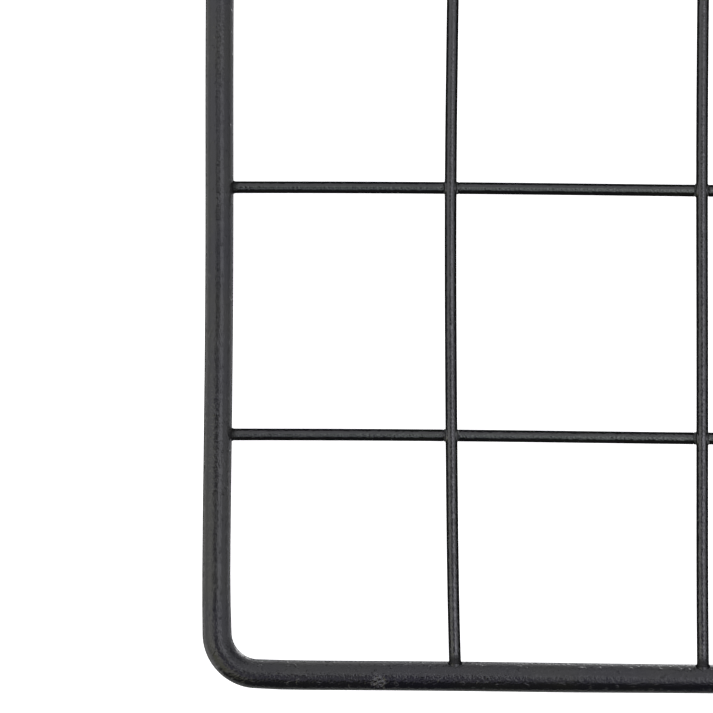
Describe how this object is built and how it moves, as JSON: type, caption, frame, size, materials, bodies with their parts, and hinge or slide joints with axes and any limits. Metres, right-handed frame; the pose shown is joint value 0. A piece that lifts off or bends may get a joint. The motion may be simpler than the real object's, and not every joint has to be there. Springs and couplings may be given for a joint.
{
  "type": "welded wire mesh panel",
  "caption": "Rectangular frame of bent round bar filled with a square grid of thinner wires, spot welded at every crossing and butt welded to the bar, coated black.",
  "frame": {"origin": "on the floor under the centre of the panel as it lies on its back", "axes": "+Z out of the front side, +Y along the long side, towards the top bar, +X to the right seen from the front"},
  "size_m": [0.4, 0.6, 0.0076],
  "materials": {
    "bar_coat": "black fine-texture powder coat, satin",
    "wire_coat": "black fine-texture powder coat, satin"
  },
  "bodies": {
    "root": {"frame_bar": "bar_coat", "wire_mesh": "wire_coat"}
  },
  "joints": []
}
